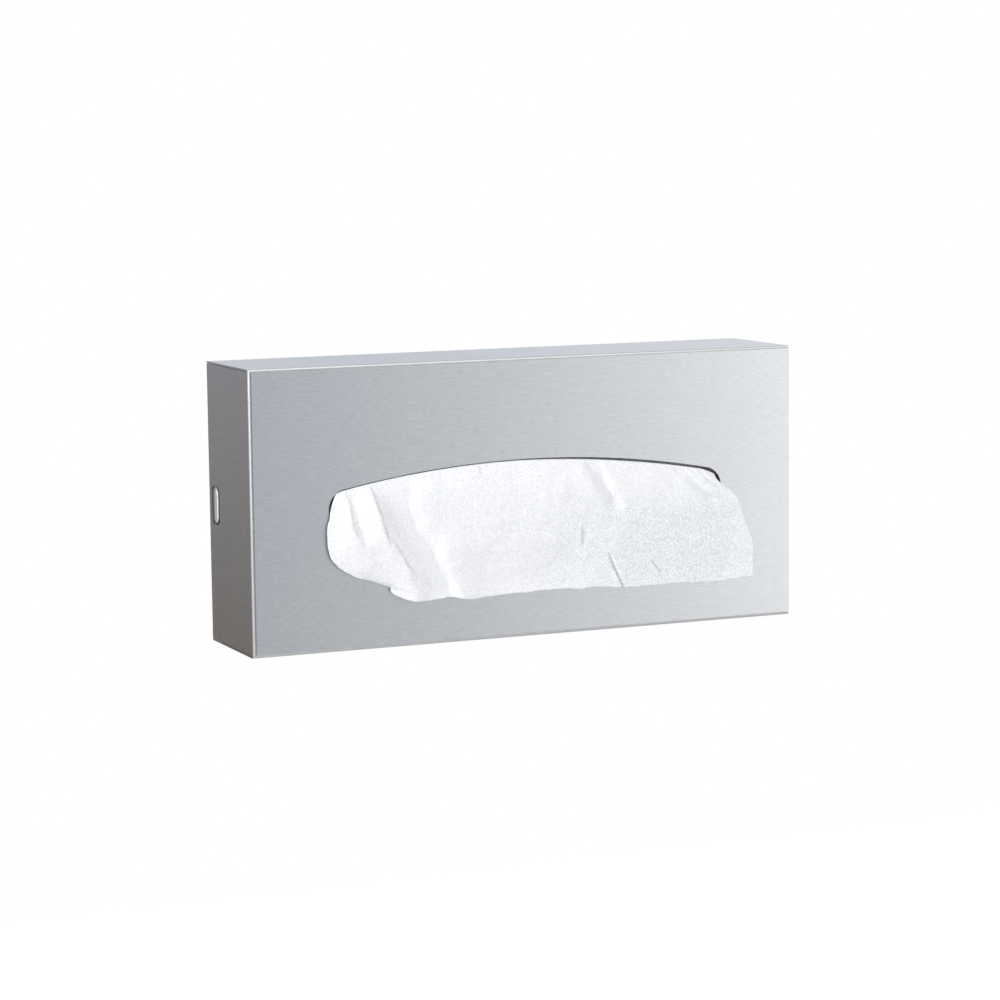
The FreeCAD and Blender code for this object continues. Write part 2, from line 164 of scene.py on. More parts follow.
# %% [markdown]
# Height changes the room too. Low in front it is dimmer, up to where the bright stretch begins. Low behind it
# is dark and warm. Higher up it is an even grey, with one bright patch overhead on the right. The camera
# itself sees plain white, through Is Camera Ray, so the white background puts no light on the object.

# %% The room's zones, by height and depth
# Each pair says where a zone starts and where it is full: a part of the direction, -1 to 1, or a heading.
FRONT_LOW_SHARE = 0.62
FRONT_LOW_UP, FRONT_LOW_IN = (-0.1, -0.18), (0.1, -0.3)
FRONT_LOW_HEADING = (math.radians(25), math.radians(15))
BACK_LOW_TONE = (0.135, 0.112, 0.075, 1)
BACK_LOW_UP, BACK_LOW_IN = (-0.07, -0.2), (0.3, 0.6)
UPPER_TONE, UPPER_UP = (0.5, 0.5, 0.51, 1), (0.2, 0.5)
OVERHEAD_TONE = (1.5, 1.5, 1.5, 1)
OVERHEAD_UP, OVERHEAD_RIGHT = (0.7, 0.88), (0.0, 0.25)
BACKGROUND_WHITE = (1.0, 1.0, 1.0, 1)

low_behind = calc(tree, "MULTIPLY", ramp(tree, upward, *BACK_LOW_UP), ramp(tree, inward, *BACK_LOW_IN))
low_front = calc(tree, "MULTIPLY", ramp(tree, upward, *FRONT_LOW_UP), ramp(tree, heading, *FRONT_LOW_HEADING))
low_front = calc(tree, "MULTIPLY", low_front, ramp(tree, inward, *FRONT_LOW_IN))
overhead = calc(tree, "MULTIPLY", ramp(tree, upward, *OVERHEAD_UP), ramp(tree, rightward, *OVERHEAD_RIGHT))
dimmed = node(tree, "ShaderNodeVectorMath", i0=tones.outputs[0], i1=(FRONT_LOW_SHARE,) * 3)
dimmed.operation = "MULTIPLY"
colour = blend_colour(tree, low_front, tones.outputs[0], dimmed.outputs[0])
colour = blend_colour(tree, low_behind, colour, BACK_LOW_TONE)
colour = blend_colour(tree, ramp(tree, upward, *UPPER_UP), colour, UPPER_TONE)
colour = blend_colour(tree, overhead, colour, OVERHEAD_TONE)
seen = node(tree, "ShaderNodeLightPath").outputs["Is Camera Ray"]
colour = blend_colour(tree, seen, colour, BACKGROUND_WHITE)
background = node(tree, "ShaderNodeBackground", Color=colour)
node(tree, "ShaderNodeOutputWorld", Surface=background.outputs[0])
print("room nodes", len(tree.nodes))

# %% [markdown]
# Two soft boxes do the lighting. The main one stands in front on the left, above: it crosses the paper and
# gives each crease its light and its dark side, and the rounded left bend of the cover mirrors it as one
# bright line. The other stands on the right. It is large and dim, so that the steel doesn't turn plain white
# in views from the side that mirror it. Area lamps are used because their size sets how soft the shade is.

# %% Soft boxes
def soft_box(name, place, size, watts, tint):
    """An area lamp that faces the dispenser, which hangs at the origin."""
    lamp = bpy.data.lights.new(name, "AREA")
    lamp.shape = "RECTANGLE"
    lamp.size, lamp.size_y = size
    lamp.energy = watts
    lamp.color = tint
    box = bpy.data.objects.new(name, lamp)
    bpy.context.scene.collection.objects.link(box)
    box.location = place
    box.rotation_euler = (-Vector(place)).to_track_quat("-Z", "Y").to_euler()


soft_box("left_box", place=(-1.75, -1.1, 0.78), size=(1.5, 1.5), watts=35.5, tint=(1.0, 0.985, 0.985))
soft_box("right_box", place=(1.73, -1.0, 0.1), size=(2.3, 2.6), watts=18.5, tint=(1.0, 0.98, 0.96))

# %% [markdown]
# A pale floor lies well below, as under anything that hangs on a wall. It is painted plain, and only the
# camera sees it lifted to white, so that it throws no extra light on the steel.

# %% Helpers for materials
NOISE_RANGE = (0.3, 0.7)


def new_material(name, **inputs):
    """A material with one surface shader, whose plain values sit on the shader's own sockets."""
    material = bpy.data.materials.new(name)
    material.use_nodes = True
    shader = material.node_tree.nodes["Principled BSDF"]
    for key, value in inputs.items():
        shader.inputs[key.replace("_", " ")].default_value = value
    return material, material.node_tree, shader


def object_places(tree, scale=(1, 1, 1)):
    """Object coordinates, stretched by a scale for each axis."""
    places = node(tree, "ShaderNodeTexCoord").outputs["Object"]
    return node(tree, "ShaderNodeMapping", Vector=places, Scale=scale).outputs[0]


def object_axes(tree):
    """The place on the object, as x, y and z in metres."""
    return node(tree, "ShaderNodeSeparateXYZ", Vector=object_places(tree)).outputs


def facing_axes(tree):
    """The way that the surface looks, as x, y and z."""
    facing = node(tree, "ShaderNodeTexCoord").outputs["Normal"]
    return node(tree, "ShaderNodeSeparateXYZ", Vector=facing).outputs


def speckle(tree, places, scale=1.0, detail=2.0, roughness=0.5):
    made = node(tree, "ShaderNodeTexNoise", Vector=places, Scale=scale, Detail=detail, Roughness=roughness)
    return made.outputs[0]


def weigh(tree, share, a, b):
    """A share of one value and the rest of another."""
    return calc(tree, "ADD", calc(tree, "MULTIPLY", a, share), calc(tree, "MULTIPLY", b, 1 - share))


def bump(tree, shader, height, distance, strength=1.0):
    made = node(tree, "ShaderNodeBump", Height=height, Distance=distance, Strength=strength)
    tree.links.new(made.outputs[0], shader.inputs["Normal"])


# %% A pale floor, well below
FLOOR_DROP, FLOOR_SIZE = 1.0, 6.0
FLOOR_PAINT, FLOOR_LIFT = (0.7, 0.7, 0.7, 1), 0.6

bpy.ops.object.select_all(action="DESELECT")
bpy.ops.mesh.primitive_plane_add(size=FLOOR_SIZE, location=(0, 0, -FLOOR_DROP))
floor = bpy.context.object
floor.name = "floor"


def white_floor():
    """Pale paint. The camera sees it lifted to white, and a shadow on it still shows."""
    material, tree, shader = new_material("floor_paint", Roughness=0.9, Base_Color=FLOOR_PAINT)
    bump(tree, shader, speckle(tree, object_places(tree), scale=40.0), distance=0.001, strength=0.2)
    seen = node(tree, "ShaderNodeLightPath").outputs["Is Camera Ray"]
    lift = node(tree, "ShaderNodeEmission", Strength=calc(tree, "MULTIPLY", seen, FLOOR_LIFT))
    both = node(tree, "ShaderNodeAddShader", i0=shader.outputs[0], i1=lift.outputs[0])
    tree.links.new(both.outputs[0], tree.nodes["Material Output"].inputs["Surface"])
    return material


floor.data.materials.append(white_floor())
print("floor", FLOOR_SIZE, "m wide,", FLOOR_DROP, "m below")

# %% [markdown]
# The cover is stainless sheet with a fine satin grain. The grain is polished into the flat sheet along its
# length, before folding, so on the front and top it runs left to right, and on the folded side walls it runs
# from front to back. Stretched noise on Object coordinates gives such streaks, and the way that a face looks
# says which of two stretches to use. The grain shows as small changes of tone, gloss and height.

# %% The grain, and a steel that follows it
# Streaks to a metre along the grain, fine and broad, and the fine ones' share.
FINE_ALONG, BROAD_ALONG, FINE_SHARE = 240.0, 60.0, 0.7
GRAIN_GLOSS, GRAIN_DEPTH = 0.02, 0.0000035
CLOUD_SCALE, CLOUD_GLOSS = 26.0, 0.008
SIDE_FACING = 0.7


def grain(tree, along, across):
    """Streaks that run along X on faces that look forward or up, and along Y on the side walls."""
    sideways = calc(tree, "ABSOLUTE", facing_axes(tree)[0])
    is_side = calc(tree, "GREATER_THAN", sideways, SIDE_FACING)
    level = speckle(tree, object_places(tree, (along, across, across)), detail=3.0, roughness=0.6)
    deep = speckle(tree, object_places(tree, (across, along, across)), detail=3.0, roughness=0.6)
    return node(tree, "ShaderNodeMix", i0=is_side, i2=level, i3=deep).outputs[0]


def steel(name, colour, roughness, fine=2900.0, tone=0.1):
    """Brushed stainless steel: a mirror-like metal whose tone, gloss and height follow a fine grain."""
    material, tree, shader = new_material(name, Metallic=1.0)
    mixed = weigh(tree, FINE_SHARE, grain(tree, FINE_ALONG, fine), grain(tree, BROAD_ALONG, fine / 2))
    dark = [c * (1 - tone) for c in colour] + [1]
    light = [min(1, c * (1 + tone)) for c in colour] + [1]
    tinted = blend_colour(tree, ramp(tree, mixed, *NOISE_RANGE), dark, light)
    tree.links.new(tinted, shader.inputs["Base Color"])
    streaks = ramp(tree, mixed, *NOISE_RANGE, roughness - GRAIN_GLOSS, roughness + GRAIN_GLOSS)
    cloud = speckle(tree, object_places(tree), scale=CLOUD_SCALE, detail=3.0)
    clouds = ramp(tree, cloud, *NOISE_RANGE, -CLOUD_GLOSS, CLOUD_GLOSS)
    tree.links.new(calc(tree, "ADD", streaks, clouds), shader.inputs["Roughness"])
    bump(tree, shader, mixed, GRAIN_DEPTH)
    return material


def dress(names, material):
    for name in names:
        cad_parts[name].data.materials.clear()
        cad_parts[name].data.materials.append(material)
    print(material.name, "on", ", ".join(names))


# %% [markdown]
# The side slots get a dark line round their punched edges, and the flank of each latch button that looks
# forward is dark too. Both are painted shade, for the shadow in the narrow gap between button and slot. Both
# are found by place and by the way that the surface looks, and the steel there is blended to a darker, duller
# one.

# %% Painted shade on the slots and on the buttons
# Places are in millimetres, from the dispenser's middle or from the wall.
DULL = 0.6
SLOT_EDGE_FROM, SLOT_EDGE_REACH, SLOT_EDGE_FACING = 138.4, 17.0, 0.5
FLANK_FULL, FLANK_END, FLANK_FACING = 138.75, 139.05, -0.6
# Tones of the painted shade on the slots' punched edges and on the buttons' forward flanks.
SLOT_EDGE_SHADE, FLANK_SHADE = (0.16, 0.16, 0.17, 1), (0.12, 0.12, 0.13, 1)


def paint_shade(material, share, colour):
    """Paints shade on a steel: darker and duller where the share is one."""
    tree = material.node_tree
    shader = tree.nodes["Principled BSDF"]
    bright = shader.inputs["Base Color"].links[0].from_socket
    glossy = shader.inputs["Roughness"].links[0].from_socket
    tree.links.new(blend_colour(tree, share, bright, colour), shader.inputs["Base Color"])
    dulled = node(tree, "ShaderNodeMix", i0=share, i2=glossy, i3=DULL)
    tree.links.new(dulled.outputs[0], shader.inputs["Roughness"])


def slot_edge_shade(tree):
    """One on the punched edges of the side slots, where shade is painted: near the side's face and the wall,
    not looking sideways.
    """
    place = object_axes(tree)
    sideways = calc(tree, "ABSOLUTE", facing_axes(tree)[0])
    at_side = calc(tree, "GREATER_THAN", calc(tree, "ABSOLUTE", place[0]), SLOT_EDGE_FROM * MM)
    by_wall = calc(tree, "GREATER_THAN", place[1], -SLOT_EDGE_REACH * MM)
    in_height = calc(tree, "LESS_THAN", calc(tree, "ABSOLUTE", place[2]), SLOT_EDGE_REACH * MM)
    on_edge = calc(tree, "MULTIPLY", calc(tree, "LESS_THAN", sideways, SLOT_EDGE_FACING), at_side)
    return calc(tree, "MULTIPLY", on_edge, calc(tree, "MULTIPLY", by_wall, in_height))


def button_flank_shade(tree):
    """One where shade is painted on a latch button: the part that looks forward, up to the rim of its face.
    """
    looks_forward = calc(tree, "LESS_THAN", facing_axes(tree)[1], FLANK_FACING)
    outward = calc(tree, "ABSOLUTE", object_axes(tree)[0])
    return calc(tree, "MULTIPLY", looks_forward, ramp(tree, outward, FLANK_END * MM, FLANK_FULL * MM))


# %% Steel for the cover, the bracket and the latches
satin_finish = steel("satin_steel_finish", colour=(0.61, 0.62, 0.63), roughness=0.30)
# The slots' punched edges get painted shade.
paint_shade(satin_finish, slot_edge_shade(satin_finish.node_tree), SLOT_EDGE_SHADE)
dress(["cover"], satin_finish)
bracket_finish = steel("bracket_steel_finish", colour=(0.55, 0.56, 0.57), roughness=0.38,
                       fine=1400.0, tone=0.07)
dress(["wall_bracket"], bracket_finish)
button_finish = steel("button_steel_finish", colour=(0.70, 0.695, 0.72), roughness=0.62, fine=3200.0)
# The buttons' forward flanks get painted shade.
paint_shade(button_finish, button_flank_shade(button_finish.node_tree), FLANK_SHADE)
dress(["left_latch_button", "right_latch_button"], button_finish)
rivet_finish = steel("rivet_steel_finish", colour=(0.56, 0.56, 0.57), roughness=0.33, fine=2600.0)
rivets = [side + "_" + place + "_rivet" for side in ("left", "right") for place in ("upper", "lower")]
dress(rivets, rivet_finish)

# %% [markdown]
# The carton is grey-white card: dull, slightly mottled, with fibres. The stack inside is some hundred folded
# leaves, whose edges make fine lines across its sides.

# %% Card and stacked paper
CARD_DARK, CARD_LIGHT = (0.70, 0.68, 0.63, 1), (0.84, 0.83, 0.80, 1)
CARD_FIBRES, CARD_FIBRE_SHARE = (420, 420, 900), 0.6
LEAF_DARK, LEAF_LIGHT = (0.78, 0.78, 0.79, 1), (0.92, 0.92, 0.93, 1)
LEAF_LINES, LEAF_LINE_SHARE, LEAF_RANGE = (12, 2600, 12), 0.7, (0.35, 0.65)


def card_board():
    material, tree, shader = new_material("carton_card_finish", Roughness=0.85)
    fibre = speckle(tree, object_places(tree, CARD_FIBRES), detail=4.0, roughness=0.65)
    patches = speckle(tree, object_places(tree), scale=60.0, detail=3.0)
    mottled = ramp(tree, weigh(tree, CARD_FIBRE_SHARE, fibre, patches), *NOISE_RANGE)
    tree.links.new(blend_colour(tree, mottled, CARD_DARK, CARD_LIGHT), shader.inputs["Base Color"])
    bump(tree, shader, fibre, distance=0.00008, strength=0.7)
    return material


def leaf_edges():
    material, tree, shader = new_material("tissue_paper_finish", Roughness=0.95)
    lines = speckle(tree, object_places(tree, LEAF_LINES))
    fibre = speckle(tree, object_places(tree), scale=900.0, detail=3.0)
    mixed = weigh(tree, LEAF_LINE_SHARE, lines, fibre)
    lined = ramp(tree, mixed, *LEAF_RANGE)
    tree.links.new(blend_colour(tree, lined, LEAF_DARK, LEAF_LIGHT), shader.inputs["Base Color"])
    bump(tree, shader, mixed, distance=0.0002, strength=0.8)
    return material


dress(["tissue_carton"], card_board())
dress(["tissue_stack"], leaf_edges())

# %% [markdown]
# The drawn tissue is a soft two-ply sheet. It comes out just under the opening's upper edge, swells a little,
# and hangs over the lower edge with its hem nearly straight and its left side drawn up to the opening's end.
# It could be simulated, but its outline and its few creases are known, so a fine grid is shaped by formula
# instead: a patch between the opening's edge, the hem and the two sides, pushed forward by a belly, by
# creases and by small wrinkles.

# %% The outline of the drape, in millimetres
MOUTH_HALF_WIDTH, MOUTH_HALF_HEIGHT, MOUTH_END = 101.5, 18.5, 9.4
ROW_HALF = 98.1
# The gap between the opening's upper edge and the sheet: its least, and how much it grows between two x.
GAP_LEAST = 0.42
GAP_GROWTH = [(0.8, -20, 60), (0.8, 90, 97), (0.1, -86, -96)]

LEFT_SIDE = [(-99.3, 4.6), (-100.4, 1.8), (-101.0, -1.0), (-101.5, -3.8), (-102.5, -6.5), (-103.3, -10.9),
             (-103.0, -17.0), (-100.9, -22.7), (-97.1, -27.4), (-91.8, -30.5), (-85.4, -33.0), (-79.0, -35.1),
             (-74.0, -37.1), (-72.1, -38.2), (-71.5, -39.9)]
RIGHT_SIDE = [(99.5, 2.4), (105.3, -2.3), (108.7, -5.5), (110.1, -8.5), (110.6, -11.5), (111.7, -14.5),
              (112.7, -17.5), (114.4, -20.6), (115.5, -23.6), (117.3, -26.7), (118.3, -30.5), (118.4, -37.0)]
HEM = [(-69.3, -41.9), (-66.7, -43.4), (-62.5, -44.6), (-58.0, -45.0), (-47.1, -44.9), (-42.5, -44.4),
       (-36.5, -45.4), (-27.7, -45.8), (-12.3, -45.0), (3.3, -44.8), (13.7, -44.5), (24.2, -45.2),
       (34.7, -44.9), (50.7, -46.4), (77.6, -46.3), (99.3, -47.0), (110.3, -46.2), (118.2, -45.9)]


def opening_edge(x):
    """The height of the opening's upper edge at x: a long arc between two round ends."""
    inner = MOUTH_HALF_WIDTH - MOUTH_END
    big = (inner**2 + MOUTH_HALF_HEIGHT**2 - MOUTH_END**2) / (2 * (MOUTH_HALF_HEIGHT - MOUTH_END))
    join = inner * big / (big - MOUTH_END)
    arc = np.sqrt(big**2 - np.minimum(np.abs(x), join) ** 2) - (big - MOUTH_HALF_HEIGHT)
    end = np.sqrt(np.maximum(MOUTH_END**2 - (np.abs(x) - inner) ** 2, 0))
    return np.where(np.abs(x) <= join, arc, end)


def soft_step(value, low, high):
    share = np.clip((value - low) / (high - low), 0, 1)
    return share * share * (3 - 2 * share)


def top_row(u):
    """Where the sheet comes out, as (x, z) at a share u of its width, just below the opening's edge."""
    x = ROW_HALF * (2 * u - 1)
    gap = GAP_LEAST
    for growth, start, full in GAP_GROWTH:
        gap = gap + growth * soft_step(x, start, full)
    return np.stack([x, opening_edge(x) - gap], -1)


print("hem points", len(HEM), "side points", len(LEFT_SIDE), len(RIGHT_SIDE))

# %% The patch between the four lines
CURVE_STEPS = 24


def curve_through(points, t):
    """Places at t on a smooth line through the points, evenly along its length."""
    points = np.array(points, float)
    padded = np.vstack([2 * points[0] - points[1], points, 2 * points[-1] - points[-2]])
    steps = np.linspace(0, 1, CURVE_STEPS, endpoint=False)[:, None]
    runs = []
    for a, b, c, d in zip(padded, padded[1:], padded[2:], padded[3:]):
        runs.append(0.5 * (2 * b + (c - a) * steps + (2 * a - 5 * b + 4 * c - d) * steps**2
                           + (3 * b - a - 3 * c + d) * steps**3))
    line = np.vstack(runs + [points[-1:]])
    length = np.concatenate([[0], np.cumsum(np.linalg.norm(np.diff(line, axis=0), axis=1))])
    return np.stack([np.interp(t * length[-1], length, line[:, k]) for k in (0, 1)], -1)


def drape(u, t):
    """The hanging part as (x, z): a patch between the opening, the hem and the two sides."""
    left_points = [top_row(np.array(0.0))] + LEFT_SIDE + [np.array(HEM[0])]
    right_points = [top_row(np.array(1.0))] + RIGHT_SIDE + [np.array(HEM[-1])]
    left_line, right_line = curve_through(left_points, t), curve_through(right_points, t)
    u, t = u[..., None], t[..., None]
    top, bottom = top_row(u[..., 0]), curve_through(HEM, u[..., 0])
    ends = top_row(np.array([0.0, 1.0]))
    hem_ends = np.array([HEM[0], HEM[-1]])
    flat = (1 - t) * ((1 - u) * ends[0] + u * ends[1]) + t * ((1 - u) * hem_ends[0] + u * hem_ends[1])
    return (1 - u) * left_line + u * right_line + (1 - t) * top + t * bottom - flat


print("middle of the drape", np.round(drape(np.array(0.5), np.array(0.5)), 1), "mm")

# %% [markdown]
# Each crease is a line on the drape with a profile across it. Paper that was folded and pulled open keeps one
# sharp side and one soft side, so a profile steps down quickly on one side of the line and recovers slowly on
# the other. A profile is a few heights, in millimetres, at distances to the left and right of the line.

# %% Creases: the line's points, and the heights across it
CREASES = {
    "left tuck": ([(-94.5, 10), (-93.4, 8.2), (-91.7, 3.5), (-91.2, -7.2), (-89.5, -11.8), (-86.8, -15.6)],
                  [(-7, 0), (-0.6, 0.8), (0.5, -0.7), (3, -1.3), (9, 0)]),
    "long fold, upper": ([(-82.2, 15.5), (-81.4, 10.2), (-79.9, 2.8), (-77.9, -4), (-76.1, -12.2),
                          (-74.9, -15.6)],
                         [(-11, 0), (-0.5, 1.3), (0.6, -1.8), (1.4, -1.3), (9, -2.9), (26, 0)]),
    "long fold, lower": ([(-73.4, -14.2), (-70.1, -19.7), (-66.9, -24.2), (-64.9, -28.5), (-61, -32.5)],
                         [(-8, 0), (-0.5, 1.1), (0.5, -1.6), (1.3, -1.1), (9, -2.5), (20, 0)]),
    "grey hollow": ([(-77, 8), (-73.5, -5), (-67, -17), (-60, -27), (-55.5, -40), (-54.5, -46)],
                    [(-15, 0), (-6, 2.6), (6, -2.6), (18, 0)]),
    "bright band": ([(-49.6, -19.6), (-44.3, -31.5), (-39.4, -43.8), (-38.5, -48)],
                    [(-12, 0), (-3.0, -1.9), (3.0, 1.5), (20, 0)]),
    "first ridge": ([(-51.7, -15.7), (-46.8, -28.3), (-42.7, -42.8), (-42, -47)],
                    [(-1.8, 0), (-0.2, 0.45), (1.2, 0)]),
    "second ridge": ([(-47.5, -23.5), (-41.8, -34.8), (-36.1, -44.7), (-35, -48)],
                     [(-1.8, 0), (0, 0.5), (1.6, 0)]),
    "small pleat": ([(-25.6, 18.5), (-26.4, 12.5)],
                    [(-3, 0), (-0.6, 0.3), (0.6, -0.6), (2.5, -0.2), (5, 0)]),
    "middle valley": ([(33.5, 19), (36.8, 11.3), (39.9, 3.9), (43.6, -2.1), (46, -6)],
                      [(-17, 0), (-9, 1.0), (-1.3, -2.7), (2.0, 0.6), (10, 0)]),
    "valley's tail": ([(41, -7.5), (45, -10.3), (52, -12.7), (56, -14)],
                      [(-3, 0), (-0.6, 0.2), (0.6, -0.35), (4, 0)]),
    "short nick": ([(24.8, -15.9), (25.2, -23.6)],
                   [(-3, 0), (-0.6, 0.5), (0.4, -0.9), (4, 0)]),
    "hem crease": ([(39.4, -29.8), (42.9, -37.3), (46.6, -44.8), (48, -48)],
                   [(-4, 0), (-0.6, 0.5), (0.4, -1.4), (1.5, 0.4), (5, 0)]),
    "hem nick": ([(62.5, -34.2), (67.8, -40.9)],
                 [(-3, 0), (-0.6, 0.5), (0.3, -1.3), (1.2, 0.3), (5, 0)]),
    "right tuck": ([(78.5, 13), (80.4, 8.9), (88, 0.7), (92.8, -4), (97.5, -6.7)],
                   [(-5, 0.4), (-0.5, -1.9), (0.0, -2.4), (1.1, 0.9), (4, 0.6), (10, 0)]),
    "right flap": ([(89.1, 9.4), (94, 3.2), (101, -2.1)],
                   [(-2.5, 0.2), (-0.2, -1.5), (0.7, 0.5), (4, 0)]),
}
CREASE_FADE = 4.0


def soft_profile(across, knots):
    """The height at each distance across a crease, eased from knot to knot."""
    height = np.zeros(across.shape)
    for (x0, h0), (x1, h1) in zip(knots, knots[1:]):
        inside = (across >= x0) & (across < x1)
        height = np.where(inside, h0 + (h1 - h0) * soft_step(across, x0, x1), height)
    return height


def crease_height(points, knots, x, z):
    """A crease's height at each place of the drape; it fades at both ends of its line."""
    nearest = np.full(x.shape, np.inf)
    side = np.zeros(x.shape)
    place = np.zeros(x.shape)
    start = 0.0
    for (x0, z0), (x1, z1) in zip(points, points[1:]):
        run = math.hypot(x1 - x0, z1 - z0)
        along = ((x - x0) * (x1 - x0) + (z - z0) * (z1 - z0)) / run
        held = np.clip(along, 0, run)
        away = np.hypot(x - x0 - held * (x1 - x0) / run, z - z0 - held * (z1 - z0) / run)
        turn_side = np.sign((z - z0) * (x1 - x0) - (x - x0) * (z1 - z0))
        closer = away < nearest
        nearest = np.where(closer, away, nearest)
        side = np.where(closer, turn_side, side)
        place = np.where(closer, start + along, place)
        start += run
    ends = soft_step(place, -CREASE_FADE, CREASE_FADE)
    ends = ends * soft_step(start - place, -CREASE_FADE, CREASE_FADE)
    return soft_profile(nearest * side, knots) * ends


print("creases", len(CREASES))

# %% [markdown]
# The sheet stands a little ahead of the panel. It swells most a third of the way down, falls back towards
# both sides, and lies closest at its left side. Creases and wrinkles are added to that, and it never comes
# nearer to the panel than a least distance, so paper and steel don't cut into each other.

# %% How far the sheet stands proud, in millimetres
BULGE, SIDE_FALL, LEAST_PROUD = 4.0, 0.22, 1.0
HEM_PROUD_LEFT, HEM_PROUD_RIGHT = 3.2, 1.8
LEFT_CLOSE, LEFT_CLOSE_SHARE = 0.42, 0.06
# With this factor the swell t * (1 - t) ** 2 has its top at one.
SWELL = 27 / 4
# Each row is a size, which is also the seed, and a height. For the edges it is a seed, a size and a height.
WRINKLES = [(30.0, 1.0), (13.0, 0.4), (6.0, 0.24), (2.4, 0.14)]
EDGE_WRINKLES_X = [(21.0, 9.0, 0.6), (23.0, 3.0, 0.25)]
EDGE_WRINKLES_Z = [(27.0, 9.0, 0.5), (29.0, 3.0, 0.2)]
# The shares of the drop over which each of these grows from nothing at the opening.
EDGES_FULL, CREASES_FULL, LEAST_FULL = 0.15, 0.04, 0.1


def wrinkles(x, z, seed, size, height):
    """Small even wrinkles from smooth noise."""
    values = [noise.noise(Vector((a / size, b / size, seed))) for a, b in zip(x.ravel(), z.ravel())]
    return height * np.array(values).reshape(x.shape)


def stands_proud(u, t, x, z):
    """How far the sheet stands ahead of the panel at each of its places."""
    proud = (HEM_PROUD_LEFT + (HEM_PROUD_RIGHT - HEM_PROUD_LEFT) * u) * t
    proud = proud + BULGE * (1 - SIDE_FALL * (2 * u - 1) ** 4) * (SWELL * t * (1 - t) ** 2)
    detail = sum(crease_height(*crease, x, z) for crease in CREASES.values())
    for size, height in WRINKLES:
        detail = detail + wrinkles(x, z, size, size, height)
    proud = proud + detail * soft_step(t, 0, CREASES_FULL)
    proud = proud * (LEFT_CLOSE + (1 - LEFT_CLOSE) * soft_step(u, 0, LEFT_CLOSE_SHARE))
    return np.maximum(proud, LEAST_PROUD * soft_step(t, 0, LEAST_FULL))


print("swell at a third of the way down", round(SWELL / 3 * (2 / 3) ** 2, 3))

# %% Shape the sheet
COLUMNS, INSIDE_ROWS, OUTSIDE_ROWS = 361, 8, 112
PANEL = -cover_low.y / MM
ROOT_DEPTH, ROOT_HEIGHT, ROOT_WIDTH = 52.0, 4.0, 206.0
CROWN = 2.4


def part_inside():
    """From the stack to the opening's upper edge, rising a little on the way."""
    u, s = np.meshgrid(np.linspace(0, 1, COLUMNS), np.linspace(0, 1, INSIDE_ROWS, endpoint=False))
    top = top_row(u)
    x = (u - 0.5) * ROOT_WIDTH
    x = x + (top[..., 0] - x) * s
    z = ROOT_HEIGHT + (top[..., 1] - ROOT_HEIGHT) * s + CROWN * s * (1 - s)
    return np.stack([x, -ROOT_DEPTH - (PANEL - ROOT_DEPTH) * s, z], -1)


def part_outside():
    """From the opening's upper edge down to the hem, ahead of the panel."""
    u, t = np.meshgrid(np.linspace(0, 1, COLUMNS), np.linspace(0, 1, OUTSIDE_ROWS))
    xz = drape(u, t)
    x, z = xz[..., 0], xz[..., 1]
    loose = soft_step(t, 0, EDGES_FULL)
    x = x + loose * sum(wrinkles(x, z, *row) for row in EDGE_WRINKLES_X)
    z = z + loose * sum(wrinkles(x, z, *row) for row in EDGE_WRINKLES_Z)
    return np.stack([x, -PANEL - stands_proud(u, t, x, z), z], -1)


bpy.ops.object.select_all(action="DESELECT")
bpy.ops.mesh.primitive_grid_add(x_subdivisions=COLUMNS - 1,
                                y_subdivisions=INSIDE_ROWS + OUTSIDE_ROWS - 1, size=1)
tissue = bpy.context.object
tissue.name = "drawn_tissue"
points = np.concatenate([part_inside(), part_outside()]).reshape(-1, 3) * MM
tissue.data.vertices.foreach_set("co", points.ravel())
tissue.data.update()
bpy.ops.object.mode_set(mode="EDIT")
bpy.ops.mesh.select_all(action="SELECT")
bpy.ops.mesh.flip_normals()
bpy.ops.object.mode_set(mode="OBJECT")
bpy.ops.object.shade_smooth()
print("tissue from", np.round(points.min(0) / MM, 1), "to", np.round(points.max(0) / MM, 1), "mm")

# %% [markdown]
# Two plies of tissue have a little body, so the sheet gets a thickness that goes inwards from the shaped
# face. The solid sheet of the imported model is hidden, because this one stands for it.

# %% Thickness, and what the sheet rests on
SHEET_THICKNESS = 0.4
plies = tissue.modifiers.new("plies", "SOLIDIFY")
plies.thickness = SHEET_THICKNESS * MM
plies.offset = -1
bpy.ops.object.modifier_apply(modifier=plies.name)
drawn_area = sum(p.area for p in tissue.data.polygons) / 2
print("drawn part", round(drawn_area * 1e4, 1), "square cm")

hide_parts("pulled_tissue")
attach(tissue, "cover")

# %% [markdown]
# Tissue is white, very dull and a little see-through, with a fine even crepe and small dimples. Its hollows
# are painted darker, as painted shade, and more so in the lower right part, which is painted greyer as shade.
# Light that passes through the plies makes its edges glow, so a little scattering below the surface is given
# too.

# %% Tissue paper
# Where the painted shade of the lower right part starts and is full, in metres, and how far it fades at the
# right side.
LOWER_SHADE_X, LOWER_SHADE_Z = (-0.02, 0.07), (0.004, -0.014)
LOWER_SHADE_FADE_X, LOWER_SHADE_FADE = (0.098, 0.111), (1.0, 0.35)
# The hollow colours are painted shade in the crepe's hollows; the raised ones are the paper's white.
HOLLOW, HOLLOW_LOWER_SHADE = (0.835, 0.855, 0.88, 1), (0.72, 0.755, 0.78, 1)
RAISED, RAISED_LOWER_SHADE = (0.97, 0.97, 0.985, 1), (0.97, 0.98, 0.99, 1)
CREPE, CREPE_SHARE, TISSUE_RANGE = (1100, 1100, 1700), 0.4, (0.4, 0.6)


def lower_shade_part(tree):
    """One where shade is painted, right of the middle and below the opening's edge."""
    place = object_axes(tree)
    lower_shade = calc(tree, "MULTIPLY", ramp(tree, place[0], *LOWER_SHADE_X), ramp(tree, place[2], *LOWER_SHADE_Z))
    return calc(tree, "MULTIPLY", lower_shade, ramp(tree, place[0], *LOWER_SHADE_FADE_X, *LOWER_SHADE_FADE))


